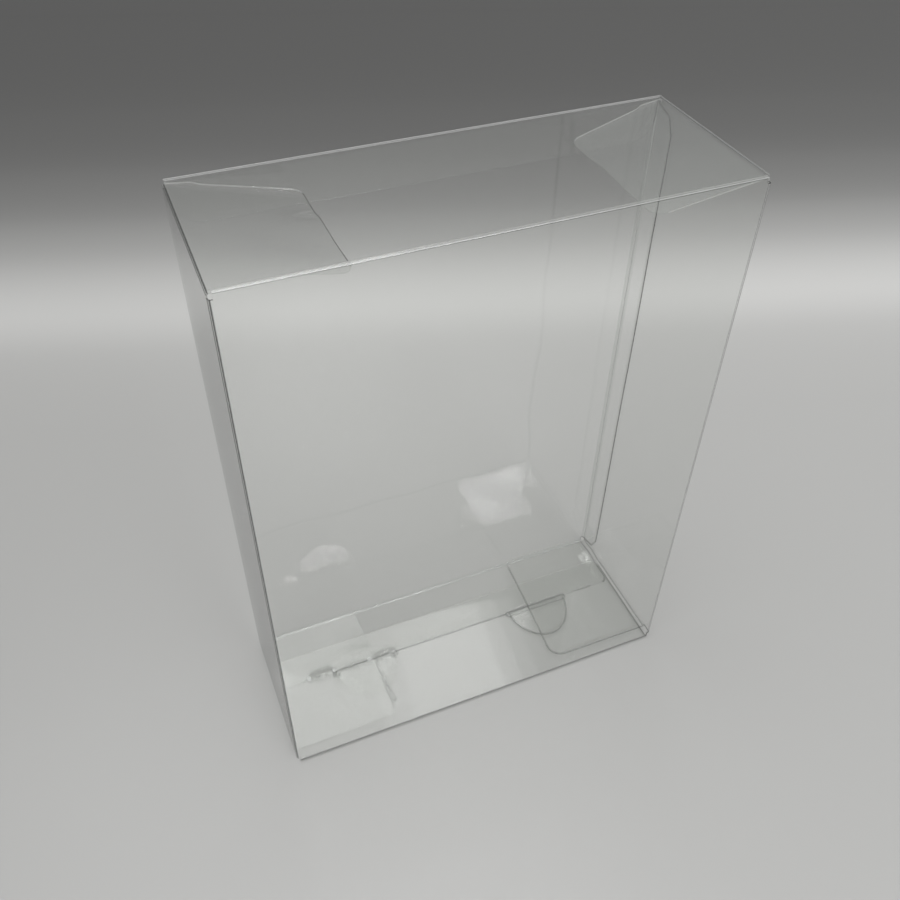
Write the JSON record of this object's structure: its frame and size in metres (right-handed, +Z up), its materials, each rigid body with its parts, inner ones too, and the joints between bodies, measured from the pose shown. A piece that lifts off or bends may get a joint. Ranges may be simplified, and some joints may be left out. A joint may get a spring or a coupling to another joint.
{
  "type": "clear display box",
  "caption": "Tall folded box of clear plastic film with a hinged tuck lid, dust flaps and an interlocked bottom, for showing a boxed product.",
  "frame": {"origin": "middle of the footprint, on the surface that the box stands on", "axes": "+X along the wide front to the right, +Y from the front to the back, +Z up to the lid"},
  "size_m": [0.14, 0.053, 0.192],
  "materials": {
    "clear_film": "clear, glossy, faintly cool"
  },
  "bodies": {
    "box_body": {"box_body": "clear_film"},
    "lid": {"lid": "clear_film"}
  },
  "joints": [
    {"name": "lid_hinge", "type": "hinge", "parent": "box_body", "child": "lid", "pos_m": [0, -0.0254, 0.192], "axis": [1, 0, 0], "range_deg": [0, 135]}
  ]
}
